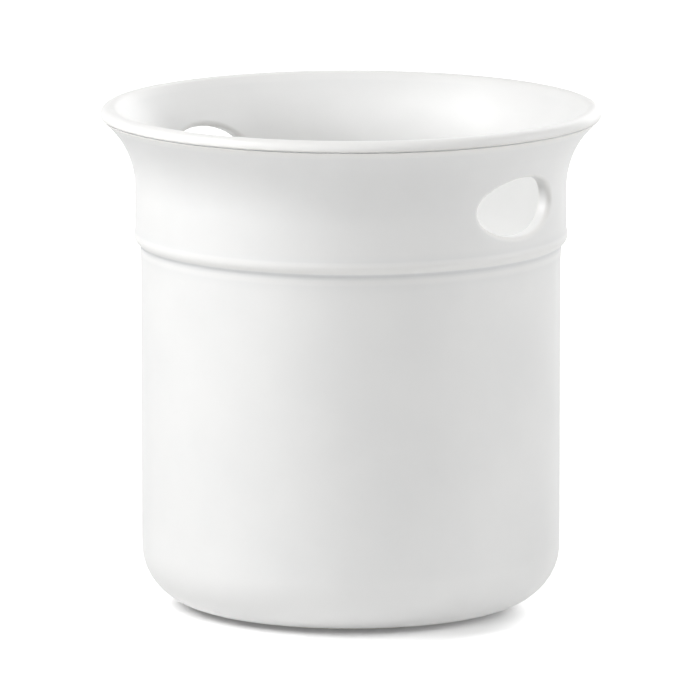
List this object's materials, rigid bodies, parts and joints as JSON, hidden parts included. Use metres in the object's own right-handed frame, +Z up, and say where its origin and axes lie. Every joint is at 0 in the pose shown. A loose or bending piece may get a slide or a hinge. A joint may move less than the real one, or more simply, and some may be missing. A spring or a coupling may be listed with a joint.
{
  "type": "utensil crock",
  "caption": "White glazed stoneware utensil crock with a rounded base, a beaded belt, a flared collar with oval finger holes and a rolled lip, open at the top.",
  "frame": {"origin": "centre of the foot ring's standing face, on the table", "axes": "+Z up along the axis that the crock is turned about; +X through the middle of the near finger hole, with the far hole about opposite, 4 degrees from -X towards +Y"},
  "size_m": [0.1764, 0.1764, 0.1773],
  "materials": {
    "bare_stoneware": "matt, fired, unglazed",
    "seam_slip": "matt, fired slip",
    "liner_glaze": "smooth white glaze with a soft gloss",
    "outer_glaze": "smooth white glaze with a soft gloss"
  },
  "bodies": {
    "root": {"foot_ring": "bare_stoneware", "base_dish": "bare_stoneware", "base_seam_slip": "seam_slip", "lower_wall": "bare_stoneware", "belt_seam_slip": "seam_slip", "collar": "bare_stoneware", "belt_bead": "bare_stoneware", "belt_ridge": "bare_stoneware", "rolled_lip": "bare_stoneware", "liner_glaze": "liner_glaze", "outer_glaze": "outer_glaze"}
  },
  "joints": []
}
